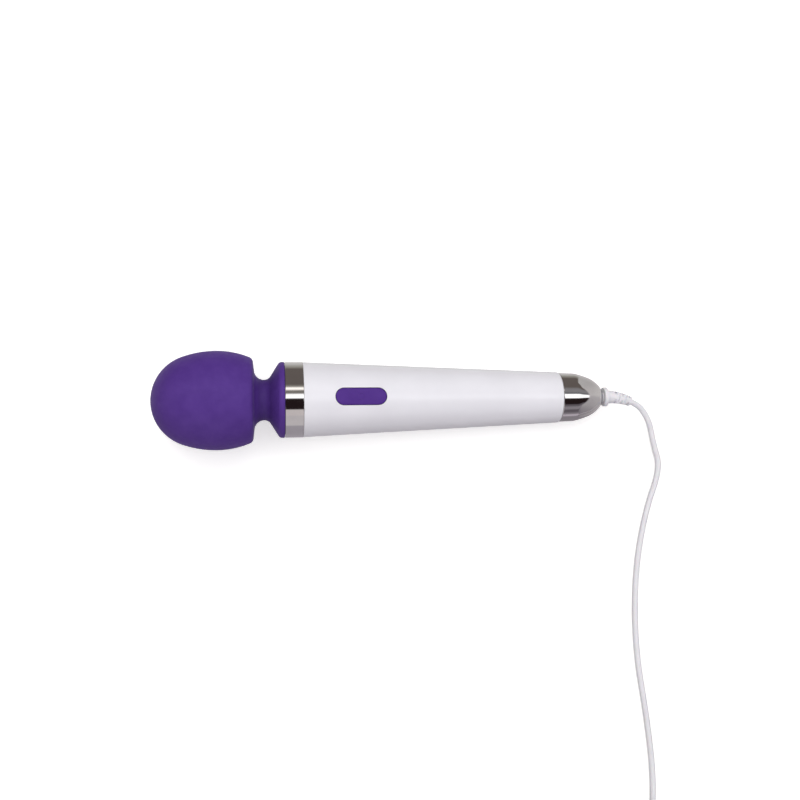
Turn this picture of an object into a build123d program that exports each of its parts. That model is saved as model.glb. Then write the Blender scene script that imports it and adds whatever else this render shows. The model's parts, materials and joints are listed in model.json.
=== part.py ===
from build123d import *
from math import asin, atan2, cos, degrees, pi, radians, sin, sqrt, tan
import os

# Handheld wand massager, millimetres. Every piece of the wand is drawn in the wand's own frame:
# X runs along its axis from the tip of the head to the tail, Z points out of the button side.
# place then lays it on a table, on the back of its head and the rear rim of its handle.
# The cord, its coil and its plug are drawn where they lie on that table.

# Head
TIP_RADIUS = 31.3
HEAD_RADIUS = 33.4
HEAD_WIDEST = 43.5
REAR_CROWN = 57.0
HEAD_REAR = 68.5
SHOULDER_AT = 67.3
SHOULDER_ROUNDING = 4.0
SKIN = 3.0
CORE_WALL = 2.5
CORE_REAR = 65.5
SPRING_HOLE = 12.0

# Neck
NECK_FRONT = 68.8
NECK_RADIUS = 13.7
NECK_WAIST = 74.8
NECK_SHOULDER = 17.3
CONE_START = (80.0, 17.5)
CONE_END = (84.3, 24.4)
FLANGE_RADIUS = 25.2
FLANGE_REAR = 88.2
BOOT_BORE = 11.7
HUB_RADIUS = 8.6
HUB_BORE = 6.5
NECK_SPRING_RADIUS = 10.0
NECK_SPRING_WIRE = 2.4
DRIVE_SPRING_RADIUS = 4.5
DRIVE_SPRING_WIRE = 1.8

# Collar and handle
COLLAR_START = 88.5
COLLAR_END = 100.9
COLLAR_RADIUS = 25.6
COLLAR_BORE = 23.4
HANDLE_END = 278.9
HANDLE_FRONT_RADIUS = 25.45
HANDLE_REAR_RADIUS = 17.7
HANDLE_WALL = 2.2
RIM_ROUNDING = 0.4

# Button
BUTTON_AT = 138.5
BUTTON_LENGTH = 34.0
BUTTON_WIDTH = 11.2
BUTTON_GAP = 0.3
BUTTON_PROUD = 0.25
BUTTON_DEPTH = 1.9

# Drive
SHAFT_RADIUS = 2.97
BEARING = (3.0, 9.5, 6.0)
WEIGHT_RADIUS = 17.0
WEIGHT_SPAN = (27.0, 49.0)
MOTOR_SPAN = (104.0, 150.0)
MOTOR_RADIUS = 13.9
MOTOR_WALL = 1.0
MOTOR_SHAFT = 2.5

# Electronics
CONTROL_BOARD_Z = 15.8
POWER_BOARD_Z = -3.2
BOARD_THICKNESS = 1.6
WIRE_RADIUS = 0.9

# Screws that close the handle: place along the axis and distance to each side of it
SHELL_SCREWS = ((167.0, 15.0), (245.0, 11.0))

# End cap and strain relief
CAP_END = 311.5
CAP_RADIUS = 17.2
CAP_WALL = 2.0
SPIGOT_RADIUS = 15.4
CORD_HOLE = 3.6
DISC_SPAN = (312.4, 315.3)
DISC_RADIUS = 6.75
RELIEF_LENGTH = 18.4
RELIEF_RADII = (4.75, 3.4)
RELIEF_YAW = 22.0
RELIEF_PITCH = 12.0

# Cord, lying on the table
CORD_RADIUS = 2.1
CORD_FLOOR = 2.15
COIL_CENTRE = (152.8, -322.0)
COIL_TURN_RADII = (20.2, 29.4)
COIL_LAYERS = 4
COIL_BASE = 0.5
PLUG_SIZE = (28.0, 22.0, 17.6)
PLUG_YAW = 170.5
BLADE = (17.0, 1.5, 6.3)
BLADE_SPACING = 12.7

# The wand lies on the rear crown of its head and on the handle's rear rim: the tilt at which both
# touch the table, then the lift of its axis and the shift that centres it over the origin.
contact_run = HANDLE_END - HEAD_WIDEST
contact_rise = REAR_CROWN - HEAD_RADIUS + HANDLE_REAR_RADIUS
tilt = asin(REAR_CROWN / sqrt(contact_run**2 + contact_rise**2)) - atan2(contact_rise, contact_run)
lift = HANDLE_REAR_RADIUS * cos(tilt) + HANDLE_END * sin(tilt)
nose_x = TIP_RADIUS * cos(tilt) - TIP_RADIUS
tail_x = CAP_END * cos(tilt) + CORD_HOLE * sin(tilt)
shift = -(nose_x + tail_x) / 2
place = Pos(shift, 0, lift) * Rot(0, degrees(tilt), 0)


def rod(start, end, radius, y=0.0, z=0.0):
    """A round rod parallel to the wand's axis."""
    rod_align = (Align.CENTER, Align.CENTER, Align.MIN)
    return Pos(start, y, z) * Rot(0, 90, 0) * Cylinder(radius, end - start, align=rod_align)


def post(s, y, bottom, top, radius):
    """An upright round post."""
    post_align = (Align.CENTER, Align.CENTER, Align.MIN)
    return Pos(s, y, bottom) * Cylinder(radius, top - bottom, align=post_align)


def block(s_span, y_span, z_span):
    """A box between two places along each axis."""
    corner = (s_span[0], y_span[0], z_span[0])
    return Pos(*corner) * Box(
        s_span[1] - s_span[0], y_span[1] - y_span[0], z_span[1] - z_span[0], align=(Align.MIN,) * 3
    )


def band(start, end, inner, outer):
    """The half section of a plain ring round the wand's axis."""
    return make_face(Polyline((start, inner), (end, inner), (end, outer), (start, outer), close=True))


def turned(face):
    """A half section turned about the wand's axis."""
    return revolve(face, Axis.X)


def rounded(face, point, radius):
    """The face with the corner nearest to a point rounded."""
    return fillet(face.vertices().sort_by_distance((*point, 0))[0], radius)


def wire(points, bend, radius=WIRE_RADIUS):
    """A round wire through points, with every corner bent to one radius."""
    path = FilletPolyline(*points, radius=bend)
    return sweep(Plane(path @ 0, z_dir=path % 0) * Circle(radius), path)


def coil_spring(start, end, mean_radius, thickness, turns):
    """A round-wire spring round the wand's axis."""
    height = end - start - thickness
    path = Helix(height / turns, height, mean_radius)
    body = sweep(Plane(path @ 0, z_dir=path % 0) * Circle(thickness / 2), path, is_frenet=True)
    return Pos(start + thickness / 2, 0, 0) * Rot(0, 90, 0) * body


def group(pieces):
    """Separate like pieces that share one node."""
    return Compound(children=list(pieces))


# Head --------------------------------------------------------------------------------------------

nose_step = HEAD_WIDEST - TIP_RADIUS
FRONT_CROWN = (nose_step**2 + HEAD_RADIUS**2 - TIP_RADIUS**2) / (2 * (HEAD_RADIUS - TIP_RADIUS))
crown_lean = degrees(atan2(nose_step, FRONT_CROWN - HEAD_RADIUS))


def head_outline(inset, rear, rear_edge, rounding):
    """Half section of the whole head, inset from its outer face and closed along the axis.

    A tip arc runs tangent into the front crown, and that into the rear crown at the widest place.
    """
    crown_end = degrees(pi / 2 - asin((rear_edge - HEAD_WIDEST) / (REAR_CROWN - inset)))
    tip = CenterArc((TIP_RADIUS, 0), TIP_RADIUS - inset, 180, crown_lean - 90)
    front_centre = (HEAD_WIDEST, HEAD_RADIUS - FRONT_CROWN)
    front = CenterArc(front_centre, FRONT_CROWN - inset, 90 + crown_lean, -crown_lean)
    rear_centre = (HEAD_WIDEST, HEAD_RADIUS - REAR_CROWN)
    back = CenterArc(rear_centre, REAR_CROWN - inset, 90, crown_end - 90)
    shoulder = back @ 1
    rear_line = Polyline(shoulder, (rear, NECK_SHOULDER), (rear, 0), (inset, 0))
    face = make_face([*tip.edges(), *front.edges(), *back.edges(), *rear_line.edges()])
    return rounded(face, (shoulder.X, shoulder.Y), rounding)


skin_section = head_outline(0, HEAD_REAR, SHOULDER_AT, SHOULDER_ROUNDING)
core_section = head_outline(SKIN, CORE_REAR, CORE_REAR - 1.0, SHOULDER_ROUNDING - 1.5)
hollow_section = head_outline(SKIN + CORE_WALL, CORE_REAR - CORE_WALL, CORE_REAR - CORE_WALL - 0.8, 1.5)
core_wall = core_section - hollow_section
front_zone = band(-1, HEAD_WIDEST, 0, HEAD_RADIUS + 1)
rear_zone = band(HEAD_WIDEST, HEAD_REAR + 1, 0, HEAD_RADIUS + 1)

BEARING_FRONT = 17.0
BEARING_REAR = 53.2
BEARING_SEAT = 12.5
CORE_SCREW_RADIUS = 24.3
CORE_BOSS = 3.2


def around(shape, count, first=0.0):
    """Copies of a shape spaced evenly round the wand's axis."""
    return [Rot(first + 360 / count * step, 0, 0) * shape for step in range(count)]


def head_cover():
    spring_hole = band(CORE_REAR - 1, HEAD_REAR + 1, 0, SPRING_HOLE)
    return turned(skin_section - core_section - spring_hole)


def head_core_front():
    seat = core_section & band(0, BEARING_FRONT + BEARING[2] + 0.2, 0, BEARING_SEAT)
    seat -= band(BEARING_FRONT, HEAD_WIDEST, 0, BEARING[1])
    seat -= band(BEARING_FRONT - 4, BEARING_FRONT, 0, BEARING[1] - 4)
    seat -= band(6, BEARING_FRONT - 4, 0, BEARING[1] - 2)
    core = turned((core_wall & front_zone) + seat)
    bosses = around(rod(28, HEAD_WIDEST, CORE_BOSS, z=CORE_SCREW_RADIUS), 3)
    holes = around(rod(34, HEAD_WIDEST, 1.45, z=CORE_SCREW_RADIUS), 3)
    core = core + [turned(core_section) & boss for boss in bosses]
    return core - holes


def head_core_rear():
    seat = band(BEARING_REAR - 0.2, CORE_REAR, BEARING[1], BEARING_SEAT)
    lip = band(BEARING_REAR + BEARING[2], CORE_REAR, HUB_BORE, BEARING_SEAT)
    hub = band(CORE_REAR - 1, 70, HUB_BORE, HUB_RADIUS)
    core = turned((core_wall & rear_zone) - band(60, 70, 0, HUB_BORE) + seat + lip + hub)
    bosses = around(rod(HEAD_WIDEST, CORE_REAR - 1, CORE_BOSS, z=CORE_SCREW_RADIUS), 3)
    shank_holes = around(rod(HEAD_WIDEST, HEAD_REAR, 1.6, z=CORE_SCREW_RADIUS), 3)
    head_holes = around(rod(60, HEAD_REAR, 2.9, z=CORE_SCREW_RADIUS), 3)
    core = core + [turned(core_section) & boss for boss in bosses]
    return core - shank_holes - head_holes


def head_screws():
    screw = rod(35, 60, 1.4, z=CORE_SCREW_RADIUS) + rod(60, 62.4, 2.7, z=CORE_SCREW_RADIUS)
    return group(around(screw, 3))


def bearing(start):
    bore, outer, width = BEARING
    ring = band(start, start + width, bore, outer)
    shield_low = bore + 1.8
    shield_high = outer - 1.8
    ring -= band(start - 1, start + 0.5, shield_low, shield_high)
    ring -= band(start + width - 0.5, start + width + 1, shield_low, shield_high)
    return turned(ring)


def eccentric_shaft():
    return rod(13.5, 70, SHAFT_RADIUS)


def eccentric_weight():
    start, end = WEIGHT_SPAN
    heavy_side = rod(start, end, WEIGHT_RADIUS) & block((start, end), (-20, 20), (-20, 0))
    hub = rod(start, end, 6.5)
    set_screw_hole = post((start + end) / 2, 0, 0, 7, 2)
    return heavy_side + hub - rod(start, end, SHAFT_RADIUS) - set_screw_hole


def weight_set_screw():
    screw = post(sum(WEIGHT_SPAN) / 2, 0, SHAFT_RADIUS, 6, 2)
    return screw - rod(20, 60, SHAFT_RADIUS)


# Neck --------------------------------------------------------------------------------------------


def neck_boot():
    shoulder = (NECK_FRONT, NECK_SHOULDER)
    waist = (NECK_WAIST, NECK_RADIUS)
    front_arc = ThreePointArc(shoulder, (NECK_WAIST - 4.3, NECK_RADIUS + 1.6), waist)
    back_arc = ThreePointArc(waist, (NECK_WAIST + 3.0, NECK_RADIUS + 1.0), CONE_START)
    rim = (86, FLANGE_RADIUS)
    flange = Polyline(
        CONE_START, CONE_END, rim, (FLANGE_REAR, FLANGE_RADIUS),
        (FLANGE_REAR, BOOT_BORE), (NECK_FRONT, BOOT_BORE), shoulder,
    )
    face = make_face([*front_arc.edges(), *back_arc.edges(), *flange.edges()])
    face = rounded(face, rim, 1.6)
    return turned(face)


def neck_spring():
    return coil_spring(66.0, 86.7, NECK_SPRING_RADIUS, NECK_SPRING_WIRE, 6)


def drive_spring():
    return coil_spring(63.5, 94.8, DRIVE_SPRING_RADIUS, DRIVE_SPRING_WIRE, 12)


def neck_mount():
    disc = band(COLLAR_START, 92.5, HUB_BORE, COLLAR_BORE)
    boss = band(87, COLLAR_START, HUB_BORE, BOOT_BORE - 0.4)
    hub = band(82, 87, HUB_BORE, HUB_RADIUS)
    cup = band(92.5, COLLAR_END, 21, COLLAR_BORE)
    spigot = band(COLLAR_END, 106, 21, 22.9)
    return turned(disc + boss + hub + cup + spigot)


def collar_ring():
    return turned(band(COLLAR_START, COLLAR_END, COLLAR_BORE, COLLAR_RADIUS))


# Motor -------------------------------------------------------------------------------------------

BUSHING = 4.0
ARMATURE = 10.2
MAGNET = (10.7, 12.9)
COMMUTATOR = 4.6
motor_start, motor_end = MOTOR_SPAN


def motor_can():
    wall = band(motor_start, motor_end, MOTOR_RADIUS - MOTOR_WALL, MOTOR_RADIUS)
    front = band(motor_start, motor_start + 2, BUSHING, MOTOR_RADIUS)
    return turned(wall + front)


def motor_magnets():
    ring = turned(band(110, 140, *MAGNET))
    half = block((100, 150), (3, 20), (-20, 20))
    return group([ring & half, ring & mirror(half, Plane.XZ)])


def motor_end_bell():
    return turned(band(motor_end, motor_end + 4.5, BUSHING, MOTOR_RADIUS))


def motor_bushings():
    front = turned(band(motor_start - 1, motor_start + 4, MOTOR_SHAFT + 0.04, BUSHING))
    rear = turned(band(motor_end - 1, motor_end + 4.5, MOTOR_SHAFT + 0.04, BUSHING))
    return group([front, rear])


def motor_brushes():
    contact = COMMUTATOR + 0.06
    brush = block((141.5, 146), (contact - 1, 12.5), (-1.6, 1.6)) - rod(140, 148, contact)
    return group([brush, mirror(brush, Plane.XZ)])


def motor_shaft():
    return rod(90, motor_end + 3.5, MOTOR_SHAFT)


def armature():
    core = rod(112, 138, ARMATURE) - rod(112, 138, MOTOR_SHAFT)
    slot = block((112, 138), (-1.2, 1.2), (ARMATURE - 3.5, ARMATURE + 1))
    return core - around(slot, 6)


def commutator():
    drum = rod(139, 147, COMMUTATOR) - rod(139, 147, MOTOR_SHAFT)
    return drum - around(block((139, 146), (-0.2, 0.2), (COMMUTATOR - 0.8, COMMUTATOR + 1)), 6)


def drive_coupling():
    nose = band(86, 95, MOTOR_SHAFT, DRIVE_SPRING_RADIUS - DRIVE_SPRING_WIRE / 2 - 0.1)
    collar = band(95, 101, MOTOR_SHAFT, 6.2)
    tip = band(86, 90, 0, MOTOR_SHAFT)
    return turned(nose + collar + tip)


def motor_damper(start, outer):
    ring = turned(band(start, start + 6, MOTOR_RADIUS, outer))
    return ring & block((start, start + 6), (-30, 30), (-30, CONTROL_BOARD_Z - 1.6))


# Handle ------------------------------------------------------------------------------------------

handle_length = HANDLE_END - COLLAR_END
handle_taper = (HANDLE_FRONT_RADIUS - HANDLE_REAR_RADIUS) / handle_length
CONTROL_POSTS = ((115.0, 7.0), (161.0, 7.0))
POWER_POSTS = ((176.0, 10.5), (228.0, 10.5))
CLAMP_AT = 262.0
CLAMP_SIDE = 6.5
CLAMP_Z = 1.9


def handle_solid(proud):
    """The handle's outer surface as a solid, grown outwards by a small amount."""
    corners = (
        (COLLAR_END, 0), (COLLAR_END, HANDLE_FRONT_RADIUS + proud),
        (HANDLE_END, HANDLE_REAR_RADIUS + proud), (HANDLE_END, 0),
    )
    return turned(make_face(Polyline(*corners, close=True)))


def handle_tube():
    front_low = HANDLE_FRONT_RADIUS - HANDLE_WALL
    rear_low = HANDLE_REAR_RADIUS - HANDLE_WALL
    corners = (
        (COLLAR_END, front_low), (COLLAR_END, HANDLE_FRONT_RADIUS),
        (HANDLE_END, HANDLE_REAR_RADIUS), (HANDLE_END, rear_low),
    )
    face = make_face(Polyline(*corners, close=True))
    return turned(rounded(face, corners[2], RIM_ROUNDING))


def both_sides(places):
    """Each place along the axis, taken to the left and to the right."""
    return [(s, side * y) for s, y in places for side in (-1, 1)]


handle_outside = handle_solid(-0.5)
parting_groove = block((COLLAR_END, HANDLE_END), (-30, 30), (-0.12, 0.12)) - handle_solid(-0.18)
button_prism = Pos(BUTTON_AT, 0, 10) * extrude(SlotOverall(BUTTON_LENGTH, BUTTON_WIDTH), 20)
button_opening = Pos(BUTTON_AT, 0, 10) * extrude(
    SlotOverall(BUTTON_LENGTH + 2 * BUTTON_GAP, BUTTON_WIDTH + 2 * BUTTON_GAP), 20
)


def handle_shell_top():
    shell = split(handle_tube(), bisect_by=Plane.XY, keep=Keep.TOP)
    posts = [post(s, y, 0, 30, 3.0) for s, y in both_sides(SHELL_SCREWS)]
    posts += [post(s, y, CONTROL_BOARD_Z + BOARD_THICKNESS, 30, 2.0) for s, y in both_sides(CONTROL_POSTS)]
    shell = shell + [handle_outside & pillar for pillar in posts]
    shell = shell - [post(s, y, 0, 8, 1.4) for s, y in both_sides(SHELL_SCREWS)]
    shell = shell - [post(s, y, 10, 19.5, 1.0) for s, y in both_sides(CONTROL_POSTS)]
    return shell - button_opening - parting_groove


def handle_shell_bottom():
    shell = split(handle_tube(), bisect_by=Plane.XY, keep=Keep.BOTTOM)
    posts = [post(s, y, -30, 0, 4.4) for s, y in both_sides(SHELL_SCREWS)]
    posts += [post(s, y, -30, POWER_BOARD_Z, 2.4) for s, y in both_sides(POWER_POSTS)]
    shell = shell + [handle_outside & pillar for pillar in posts]
    clamp_posts = [post(CLAMP_AT, side * CLAMP_SIDE, -30, 0, 2.2) for side in (-1, 1)]
    shell = shell + [handle_outside & pillar for pillar in clamp_posts]
    shell = shell - [post(s, y, -9, 1, 1.6) for s, y in both_sides(SHELL_SCREWS)]
    shell = shell - [post(s, y, -30, -9, 3.2) for s, y in both_sides(SHELL_SCREWS)]
    shell = shell - [post(s, y, -10, 0, 1.1) for s, y in both_sides(POWER_POSTS)]
    shell = shell - [post(CLAMP_AT, side * CLAMP_SIDE, -5, 1, 1.1) for side in (-1, 1)]
    return shell - parting_groove


def shell_screws():
    return group(
        post(s, y, -9, 7, 1.35) + post(s, y, -11.2, -9, 2.9)
        for s, y in both_sides(SHELL_SCREWS)
    )


def button_pad():
    return (button_prism & handle_solid(BUTTON_PROUD)) - handle_solid(-BUTTON_DEPTH)


# Electronics -------------------------------------------------------------------------------------

SWITCH_TOP = CONTROL_BOARD_Z + BOARD_THICKNESS + 3.0
power_top = POWER_BOARD_Z + BOARD_THICKNESS


def control_board():
    board = block((112, 164), (-10, 10), (CONTROL_BOARD_Z, CONTROL_BOARD_Z + BOARD_THICKNESS))
    return board - [post(s, y, 10, 20, 1.1) for s, y in both_sides(CONTROL_POSTS)]


def control_board_screws():
    heads_at = CONTROL_BOARD_Z
    return group(
        post(s, y, heads_at - 1.2, heads_at, 2.0) + post(s, y, heads_at, heads_at + 3.4, 0.95)
        for s, y in both_sides(CONTROL_POSTS)
    )


def control_chips():
    top = CONTROL_BOARD_Z + BOARD_THICKNESS
    controller = block((122, 128), (-3, 3), (top, top + 1.4))
    driver = block((148, 156), (-2.5, 2.5), (top, top + 1.4))
    return group([controller, driver])


def button_switch():
    body = block((BUTTON_AT - 3, BUTTON_AT + 3), (-3, 3), (CONTROL_BOARD_Z + BOARD_THICKNESS, SWITCH_TOP))
    return body - post(BUTTON_AT, 0, SWITCH_TOP - 2.2, SWITCH_TOP, 1.7)


def switch_plunger():
    return post(BUTTON_AT, 0, SWITCH_TOP - 1.2, SWITCH_TOP + 1.1, 1.6)


def power_board():
    board = block((172, 232), (-14, 14), (POWER_BOARD_Z, power_top))
    return board - [post(s, y, -6, 0, 1.3) for s, y in both_sides(POWER_POSTS)]


def power_board_screws():
    return group(
        post(s, y, power_top, power_top + 1.4, 2.2) + post(s, y, power_top - 7, power_top, 1.05)
        for s, y in both_sides(POWER_POSTS)
    )


def filter_capacitor():
    return rod(181, 201, 6, y=-6.2, z=power_top + 6)


def fuse():
    glass = rod(208, 224, 2.3, y=-5, z=power_top + 2.6)
    return glass + rod(206, 211, 2.6, y=-5, z=power_top + 2.6) + rod(219, 224, 2.6, y=-5, z=power_top + 2.6)


def bridge_rectifier():
    return block((186, 198), (3, 9), (power_top, power_top + 8))


def terminal_block():
    return block((213, 223), (1.5, 11.5), (power_top, power_top + 8))


def motor_leads():
    start = motor_end + 4.5
    return group(
        wire([(start, y, 0), (start + 7, y, 0), (174, y, 5), (178, y, 3), (178, y, power_top)], 1.8)
        for y in (-3.0, 3.0)
    )


def control_leads():
    return group(
        wire([(159, y, CONTROL_BOARD_Z), (159, y, 12), (172, y, 10), (179, y, 4), (179, y, power_top)], 1.8)
        for y in (-0.95, 0.95)
    )


def mains_leads():
    return group(
        wire([(250, side, 0), (242, side, 0), (234, y, 3), (223, y, 3)], 2.5)
        for side, y in ((-1.0, 3.5), (1.0, 8.5))
    )


def cord_end():
    return rod(250, 305.5, CORD_RADIUS)


def cord_clamp_bar():
    bar = block((CLAMP_AT - 3, CLAMP_AT + 3), (-9, 9), (0, 4.5))
    bar -= rod(CLAMP_AT - 4, CLAMP_AT + 4, CORD_RADIUS)
    return bar - [post(CLAMP_AT, side * CLAMP_SIDE, -1, 6, 1.3) for side in (-1, 1)]


def cord_clamp_screws():
    return group(
        post(CLAMP_AT, side * CLAMP_SIDE, 4.5, 6, 2.2) + post(CLAMP_AT, side * CLAMP_SIDE, -4, 4.5, 1.05)
        for side in (-1, 1)
    )


# End cap and strain relief -----------------------------------------------------------------------

CAP_SHOULDER = 292.0
CAP_SHOULDER_RADIUS = 16.6
CAP_NOSE_RADIUS = 4.6
SPIGOT_END = 268.0


def end_cap():
    outside = Spline(
        (CAP_SHOULDER, CAP_SHOULDER_RADIUS), (301.8, 13.2), (308.3, 8.6), (CAP_END, CAP_NOSE_RADIUS),
        tangents=((1, -0.09), (0.25, -1)),
    )
    inside = Spline(
        (CAP_SHOULDER, CAP_SHOULDER_RADIUS - CAP_WALL), (300.4, 11.8), (306.2, 7.6), (308.8, CORD_HOLE),
        tangents=((1, -0.09), (0.25, -1)),
    )
    cord_hole_wall = Polyline((CAP_END, CAP_NOSE_RADIUS), (CAP_END, CORD_HOLE), (308.8, CORD_HOLE))
    spigot_wall = Polyline(
        (CAP_SHOULDER, CAP_SHOULDER_RADIUS - CAP_WALL), (281, CAP_RADIUS - CAP_WALL - 1.8),
        (SPIGOT_END, SPIGOT_RADIUS - CAP_WALL), (SPIGOT_END, SPIGOT_RADIUS),
        (HANDLE_END, SPIGOT_RADIUS), (HANDLE_END, CAP_RADIUS), (CAP_SHOULDER, CAP_SHOULDER_RADIUS),
    )
    pieces = (outside, cord_hole_wall, inside, spigot_wall)
    return turned(make_face([edge for piece in pieces for edge in piece.edges()]))


# The strain relief leaves the cap along the wand's axis and bends towards the cord, in table axes.
relief_start = place * Pos(DISC_SPAN[1], 0, 0)
relief_start_dir = Vector(cos(tilt), 0, -sin(tilt))
yaw, pitch = radians(RELIEF_YAW), radians(RELIEF_PITCH)
relief_end_dir = Vector(cos(pitch) * cos(yaw), -cos(pitch) * sin(yaw), -sin(pitch))


def relief_path():
    """A straight start and one arc, as a tangent arc whose length is the relief's."""
    bend = radians(relief_start_dir.get_angle(relief_end_dir))
    radius = RELIEF_LENGTH / bend
    normal = relief_start_dir.cross(relief_end_dir).normalized()
    inward = normal.cross(relief_start_dir)
    start = relief_start.position
    end = start + relief_start_dir * (radius * sin(bend)) + inward * (radius * (1 - cos(bend)))
    return TangentArc(start, end, tangent=relief_start_dir)


relief_arc = relief_path()
cord_exit = relief_arc @ 1


def strain_relief():
    """One moulding, drawn on the table: inner flange, neck, disc and the bent tapering body."""
    inner = turned(band(305.5, 308.0, 0, 5.4) + band(308.0, DISC_SPAN[0], 0, CORD_HOLE - 0.05))
    disc = turned(band(*DISC_SPAN, 0, DISC_RADIUS))
    disc = fillet(disc.edges().filter_by(GeomType.CIRCLE), 0.6)
    sections = []
    for step in range(5):
        share = step / 4
        radius = RELIEF_RADII[0] + (RELIEF_RADII[1] - RELIEF_RADII[0]) * share
        sections.append(Plane(relief_arc @ share, z_dir=relief_arc % share) * Circle(radius))
    body = loft(sections)
    for share in (0.42, 0.56, 0.70, 0.84):
        groove = Plane(relief_arc @ share, z_dir=relief_arc % share)
        body -= groove * (Cylinder(8, 1.1) - Cylinder(RELIEF_RADII[1] - 0.5, 1.1))
    return place * (inner + disc) + body


# Cord --------------------------------------------------------------------------------------------

# The cord leaves the strain relief, comes down to the table and runs to its put-away coil.
FIRST_RUN = 6.2
cord_route = [
    cord_exit,
    cord_exit + relief_end_dir * FIRST_RUN,
    (187.4, -10.6, 9.7),
    (192.2, -18.8, 7.4),
    (195.7, -34.6, 4.0),
    (200.6, -51.0, CORD_FLOOR),
    (188.0, -82.0, CORD_FLOOR),
    (178.6, -126.0, CORD_FLOOR),
    (176.8, -178.0, CORD_FLOOR),
    (183.5, -229.0, CORD_FLOOR),
    (186.4, -270.0, 2.3),
    (182.4, -309.0, 2.6),
]
coil_x, coil_y = COIL_CENTRE
coil_top = COIL_BASE + COIL_LAYERS * 2 * CORD_RADIUS
tail_height = coil_top - CORD_RADIUS
plug_centre_z = PLUG_SIZE[2] / 2
tail_route = [
    (coil_x - 7.8, coil_y - 29.2, tail_height - 0.2),
    (coil_x - 21, coil_y - 29.0, tail_height - 2.4),
    (coil_x - 34, coil_y - 27.44, plug_centre_z + 0.3),
    (coil_x - 46, coil_y - 25.43, plug_centre_z),
]
COIL_MARGIN = 0.2


def route_radii(route):
    """Corner radii as large as each pair of runs allows."""
    points = [Vector(*point) for point in route]
    radii = []
    for before, corner, after in zip(points, points[1:], points[2:]):
        turn = radians((corner - before).get_angle(after - corner))
        shorter = min((corner - before).length, (after - corner).length)
        radii.append(0.45 * shorter / tan(turn / 2))
    return radii


def cord_tube(name, route):
    """A cord's tube along straight runs joined by tangent arcs, with its section times length checked."""
    radii = route_radii(route)
    path = FilletPolyline(*route, radius=radii)
    tube = sweep(Plane(path @ 0, z_dir=path % 0) * Circle(CORD_RADIUS), path)
    volume_share = tube.volume / (pi * CORD_RADIUS**2 * path.length)
    tightest = min(radii)
    print(f"{name}: length {path.length:.1f}, tightest bend {tightest:.1f}, volume {volume_share:.4f}")
    return tube


def cord_coil():
    inner = COIL_TURN_RADII[0] - CORD_RADIUS - COIL_MARGIN
    outer = COIL_TURN_RADII[1] + CORD_RADIUS + COIL_MARGIN
    height = coil_top - COIL_BASE
    ring = Cylinder(outer, height, align=(Align.CENTER, Align.CENTER, Align.MIN))
    ring -= Cylinder(inner, height, align=(Align.CENTER, Align.CENTER, Align.MIN))
    return Pos(coil_x, coil_y, COIL_BASE) * ring


def cord_tie():
    inner = COIL_TURN_RADII[0] - CORD_RADIUS - COIL_MARGIN - 0.4
    outer = COIL_TURN_RADII[1] + CORD_RADIUS + COIL_MARGIN
    sleeve = block((-outer - 0.8, -inner + 0.8), (-3, 3), (0, coil_top + COIL_BASE))
    sleeve -= block((-outer, -inner), (-4, 4), (COIL_BASE, coil_top))
    return Pos(coil_x, coil_y, 0) * sleeve


# Plug, drawn with the cord coming in along +X at its origin, then laid beside the coil.
PLUG_RELIEF = 20.0
plug_place = Pos(*tail_route[-1]) * Rot(0, 0, PLUG_YAW)


def plug_body():
    length, width, height = PLUG_SIZE
    body = block((PLUG_RELIEF, PLUG_RELIEF + length), (-width / 2, width / 2), (-height / 2, height / 2))
    body = fillet(body.edges().filter_by(Axis.X), 5)
    body = fillet(body.faces().sort_by(Axis.X)[0].edges(), 3)
    return plug_place * body


def plug_strain_relief():
    taper = Plane.YZ * Circle(3.2)
    taper_end = Plane.YZ.offset(PLUG_RELIEF) * Circle(5.0)
    body = loft([taper, taper_end])
    for start in (4.0, 7.5, 11.0, 14.5):
        body -= turned(band(start, start + 1.2, 2.9, 8))
    return plug_place * body


def plug_blades():
    length, thickness, width = BLADE
    start = PLUG_RELIEF + PLUG_SIZE[0]
    blade = block((start, start + length), (-thickness / 2, thickness / 2), (-width / 2, width / 2))
    blade = chamfer(blade.faces().sort_by(Axis.X)[-1].edges(), 0.5)
    return group(plug_place * Pos(0, side * BLADE_SPACING / 2, 0) * blade for side in (-1, 1))


# Every node --------------------------------------------------------------------------------------

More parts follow.
